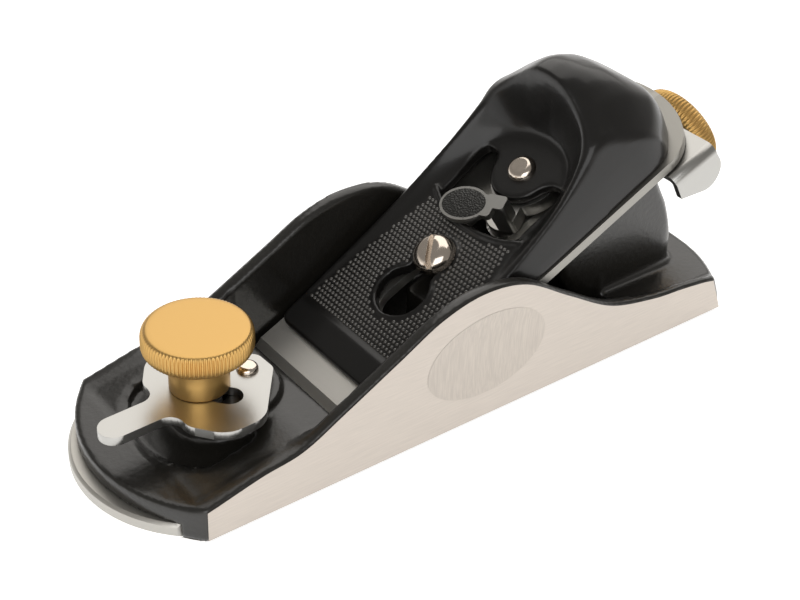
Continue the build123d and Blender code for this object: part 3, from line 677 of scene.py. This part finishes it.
def build_tab_painted_reflection(material):
    """A dark oval sheet on top of the cam lever's tab: painted reflection of the dark surroundings seen in
    the plated tab, with a grained bump.
    """
    turn = math.radians(TAB["turn"])
    angles = np.linspace(0, 2 * np.pi, 49)[:, None]
    r = np.linspace(0, 1, 8)
    long_way, short_way = TAB["long"] * r * np.cos(angles), TAB["short"] * r * np.sin(angles)
    centre = WEB_CENTRE / math.cos(PANEL_TILT) - TAB["before_web"]
    p = centre + long_way * math.cos(turn) - short_way * math.sin(turn)
    v = TAB["v"] + long_way * math.sin(turn) + short_way * math.cos(turn)
    q = np.broadcast_to(TAB["top"] + TAB["swell"] * (1 - r ** 2), p.shape)
    panel = np.stack([p.ravel(), v.ravel(), q.ravel()], axis=1)
    rows = bed_to_world(panel_to_bed(panel)).reshape(p.shape + (3,))
    return dress(sheet_mesh("cam_tab_painted_reflection", rows[::-1]), "cam", "plated_steel", material)


# ---- materials ------------------------------------------------------------------------
def principled(name, colour, metallic, roughness, **more):
    """A principled material with uniform values."""
    material = bpy.data.materials.new(name)
    material.use_nodes = True
    shader = material.node_tree.nodes["Principled BSDF"]
    shader.inputs["Base Color"].default_value = (*colour, 1)
    shader.inputs["Metallic"].default_value = metallic
    shader.inputs["Roughness"].default_value = roughness
    for label, value in more.items():
        shader.inputs[label.replace("_", " ")].default_value = value
    return material


def noise_factor(material, scale, detail, stretch, turn):
    """A noise over the object's own metres, drawn out and turned."""
    nodes, links = material.node_tree.nodes, material.node_tree.links
    place = nodes.new("ShaderNodeTexCoord")
    mapping = nodes.new("ShaderNodeMapping")
    mapping.inputs["Scale"].default_value = stretch
    mapping.inputs["Rotation"].default_value = turn
    noise = nodes.new("ShaderNodeTexNoise")
    noise.inputs["Scale"].default_value = scale
    noise.inputs["Detail"].default_value = detail
    links.new(place.outputs["Object"], mapping.inputs["Vector"])
    links.new(mapping.outputs["Vector"], noise.inputs["Vector"])
    return noise.outputs["Fac"]


def ramp_colour(material, factor, low, high, start=0.0, end=1.0):
    """Base colour that goes from low to high as a factor goes from start to end."""
    nodes, links = material.node_tree.nodes, material.node_tree.links
    ramp = nodes.new("ShaderNodeValToRGB")
    for element, position, colour in zip(ramp.color_ramp.elements, (start, end), (low, high)):
        element.position = position
        element.color = (*colour, 1)
    links.new(factor, ramp.inputs["Fac"])
    links.new(ramp.outputs["Color"], nodes["Principled BSDF"].inputs["Base Color"])


def add_bump(material, scale, strength, distance, stretch=(1, 1, 1), turn=(0, 0, 0), detail=3.0):
    """Noise relief."""
    nodes, links = material.node_tree.nodes, material.node_tree.links
    bump = nodes.new("ShaderNodeBump")
    bump.inputs["Strength"].default_value = strength
    bump.inputs["Distance"].default_value = distance
    links.new(noise_factor(material, scale, detail, stretch, turn), bump.inputs["Height"])
    links.new(bump.outputs["Normal"], nodes["Principled BSDF"].inputs["Normal"])


def vary_colour(material, low, high, scale, stretch, turn):
    """Colour that drifts between two shades, following a noise."""
    ramp_colour(material, noise_factor(material, scale, 4.0, stretch, turn), low, high, 0.35, 0.65)


def shade_along(material, start, end, low, high):
    """Colour that changes from low to high between two places on the object's X axis, in metres."""
    nodes, links = material.node_tree.nodes, material.node_tree.links
    place = nodes.new("ShaderNodeTexCoord")
    split = nodes.new("ShaderNodeSeparateXYZ")
    part = nodes.new("ShaderNodeMapRange")
    part.inputs["From Min"].default_value = start
    part.inputs["From Max"].default_value = end
    links.new(place.outputs["Object"], split.inputs["Vector"])
    links.new(split.outputs["X"], part.inputs["Value"])
    ramp_colour(material, part.outputs["Result"], low, high)


GRIND_TURN = (0, math.radians(-4), 0)
DISH_TURN = (0, math.radians(8), 0)
BLADE_SHADE_RAMP = (0.0, 0.018)    # painted shade: the cutter's face goes from darkened, where it runs under the cap, to its full colour between these, in metres


def all_materials():
    """Every material, by the slot or the node that it dresses."""
    enamel = principled("body_enamel", (0.012, 0.011, 0.009), 0.0, 0.32, Coat_Weight=0.3, Coat_Roughness=0.15)
    add_bump(enamel, 900.0, 0.25, 0.0003)
    # Painted sheen: the bumps are the cap's black enamel, given a lighter grey base that stands for their
    # glints.
    bumps = principled("cap_bump_sheen", (0.07, 0.066, 0.06), 0.0, 0.20, Coat_Weight=1.0, Coat_Roughness=0.05)
    gloss = principled("cap_enamel", (0.008, 0.0075, 0.007), 0.0, 0.30, Specular_IOR_Level=0.32,
                       Coat_Weight=0.2, Coat_Roughness=0.12)
    add_bump(gloss, 500.0, 0.10, 0.0002)
    iron = principled("ground_iron", (0.58, 0.525, 0.47), 0.75, 0.42)
    vary_colour(iron, (0.555, 0.505, 0.455), (0.60, 0.545, 0.49), 2600.0, (0.05, 1, 1), GRIND_TURN)
    add_bump(iron, 2600.0, 0.05, 0.0001, (0.08, 1, 1), GRIND_TURN)
    dish = principled("ground_dish", (0.54, 0.49, 0.44), 0.75, 0.45)
    vary_colour(dish, (0.50, 0.455, 0.41), (0.57, 0.52, 0.465), 3200.0, (1, 1, 0.05), DISH_TURN)
    add_bump(dish, 3200.0, 0.10, 0.0001, (1, 1, 0.08), DISH_TURN)
    brass = principled("satin_brass", (0.62, 0.385, 0.13), 0.9, 0.36)
    add_bump(brass, 1500.0, 0.06, 0.0001)
    chrome = principled("plated_steel", (0.48, 0.475, 0.455), 1.0, 0.30)
    add_bump(chrome, 400.0, 0.08, 0.0002)
    nickel = principled("nickel", (0.70, 0.62, 0.54), 1.0, 0.16)
    # Painted reflection: this dark colour on the plated tab stands for what the tab mirrors; the bump gives
    # it a grain.
    tab_reflection_paint = principled("tab_painted_reflection", (0.05, 0.05, 0.048), 0.8, 0.32)
    add_bump(tab_reflection_paint, 2600.0, 0.6, 0.0003, detail=0.0)
    steel = principled("machined_steel", (0.52, 0.51, 0.48), 1.0, 0.30)
    plate = principled("plate_top", (0.50, 0.485, 0.45), 0.85, 0.38)
    blade = principled("cutter_steel", (0.72, 0.695, 0.64), 0.9, 0.38)
    # Painted shade: the cutter is coloured darker towards the rear, under the cap, and lighter at the exposed
    # front.
    shade_along(blade, *BLADE_SHADE_RAMP, (0.33, 0.32, 0.295), (0.86, 0.84, 0.79))
    add_bump(blade, 700.0, 0.08, 0.0002, (1, 0.1, 1))
    return {
        "body_enamel": enamel, "cap_enamel": gloss, "ground_iron": iron, "dish": dish, "knob_brass": brass,
        "wheel_brass": brass, "plated_steel": chrome, "nickel": nickel, "machined_steel": steel,
        "cutter_steel": blade, "toe_plate": plate, "tab_painted_reflection": tab_reflection_paint, "cap_bump_sheen": bumps,
    }


WELD_DISTANCE = 0.000002
EDGE_WIDTH = 0.00015


def dress_nodes(materials):
    """Materials, and softened edges, for the CAD nodes that stay as they are."""
    slots = {entry["node"]: entry["material_slot"] for entry in frame["record"]["subparts"]}
    for name, node in frame["nodes"].items():
        node.data.materials.clear()
        node.data.materials.append(materials.get(name, materials[slots[name]]))
        weld = node.modifiers.new("weld", "WELD")
        weld.merge_threshold = WELD_DISTANCE
        bevel = node.modifiers.new("bevel", "BEVEL")
        bevel.width = EDGE_WIDTH
        bevel.segments = 2
        bevel.limit_method = "ANGLE"
        bevel.angle_limit = math.radians(35)
        bevel.harden_normals = True


# ---- stage ----------------------------------------------------------------------------
CAMERA_ANGLES = (141.325, 34.244, 2.732)     # azimuth, elevation and roll, in degrees
CAMERA_DISTANCE = 324.305
CAMERA_TARGET = (6.76, 0, 17.52)
CAMERA_LENS = 67.5
CAMERA_SENSOR = 36.0
LIGHTS = [                                   # name, place, target, size, watts, colour
    ("softbox", (-0.56, -0.52, 0.95), (0, 0, 0), (1.4, 1.4), 8.5, (1.0, 0.97, 0.93)),
    ("fill", (0.50, 0.62, 0.45), (0, 0, 0.02), (0.7, 0.7), 3.0, (1, 1, 1)),
]
SKY = ((0.0, 0.95), (0.10, 0.80), (0.32, 0.28), (1.0, 0.28))     # height in the sky, and brightness
SKY_TINT = (1, 0.965, 0.92)
FLOOR_HALF = 4000
FLOOR_Z = -0.05


def add_camera():
    """The photograph's viewpoint."""
    azimuth, elevation, roll = (math.radians(a) for a in CAMERA_ANGLES)
    back = Vector((math.sin(azimuth) * math.cos(elevation), -math.cos(azimuth) * math.cos(elevation),
                   math.sin(elevation)))
    side = Vector((math.cos(azimuth), math.sin(azimuth), 0))
    up = back.cross(side)
    right = side * math.cos(roll) + up * math.sin(roll)
    top = up * math.cos(roll) - side * math.sin(roll)
    rotation = Matrix((right, top, back)).transposed()
    data = bpy.data.cameras.new("camera")
    data.lens = CAMERA_LENS
    data.sensor_width = CAMERA_SENSOR
    camera = bpy.data.objects.new("camera", data)
    target = Vector(CAMERA_TARGET) * MM
    camera.matrix_world = Matrix.Translation(target + back * CAMERA_DISTANCE * MM) @ rotation.to_4x4()
    bpy.context.scene.collection.objects.link(camera)
    bpy.context.scene.camera = camera


def add_light(name, place, target, size, power, colour):
    """A rectangular light that faces its target."""
    data = bpy.data.lights.new(name, "AREA")
    data.shape = "RECTANGLE"
    data.size, data.size_y = size
    data.energy = power
    data.color = colour
    light = bpy.data.objects.new(name, data)
    light.location = place
    light.rotation_euler = (Vector(target) - Vector(place)).to_track_quat("-Z", "Y").to_euler()
    bpy.context.scene.collection.objects.link(light)


def add_world():
    """A bright horizon under a dimmer sky."""
    world = bpy.data.worlds.new("studio")
    world.use_nodes = True
    nodes, links = world.node_tree.nodes, world.node_tree.links
    direction = nodes.new("ShaderNodeTexCoord")
    split = nodes.new("ShaderNodeSeparateXYZ")
    ramp = nodes.new("ShaderNodeValToRGB")
    for position, level in SKY[1:-1]:
        ramp.color_ramp.elements.new(position)
    for element, (position, level) in zip(ramp.color_ramp.elements, SKY):
        element.position = position
        element.color = (*(level * tint for tint in SKY_TINT), 1)
    links.new(direction.outputs["Generated"], split.inputs["Vector"])
    links.new(split.outputs["Z"], ramp.inputs["Fac"])
    links.new(ramp.outputs["Color"], nodes["Background"].inputs["Color"])
    bpy.context.scene.world = world


def add_floor():
    """A white floor that glows enough to stay white behind the object."""
    corners = [(-FLOOR_HALF, -FLOOR_HALF), (FLOOR_HALF, -FLOOR_HALF), (FLOOR_HALF, FLOOR_HALF),
               (-FLOOR_HALF, FLOOR_HALF)]
    floor = make_mesh("floor", [(x, y, FLOOR_Z) for x, y in corners], [(0, 1, 2, 3)], smooth=False)
    floor.data.materials.append(principled("floor", (0.8, 0.8, 0.8), 0.0, 0.6, Emission_Color=(1, 1, 1, 1),
                                           Emission_Strength=0.75))


def add_stage():
    bpy.context.scene.view_settings.view_transform = "Standard"
    add_world()
    add_floor()
    for light in LIGHTS:
        add_light(*light)
    add_camera()


materials = all_materials()
dress_nodes(materials)
build_casting(materials["body_enamel"])
build_ground_faces(materials["ground_iron"], materials["dish"])
build_cap(materials["cap_enamel"])
build_bumps(materials["cap_bump_sheen"])
build_tab_painted_reflection(materials["tab_painted_reflection"])
build_knob(materials["knob_brass"])
build_wheel(materials["wheel_brass"])
add_stage()
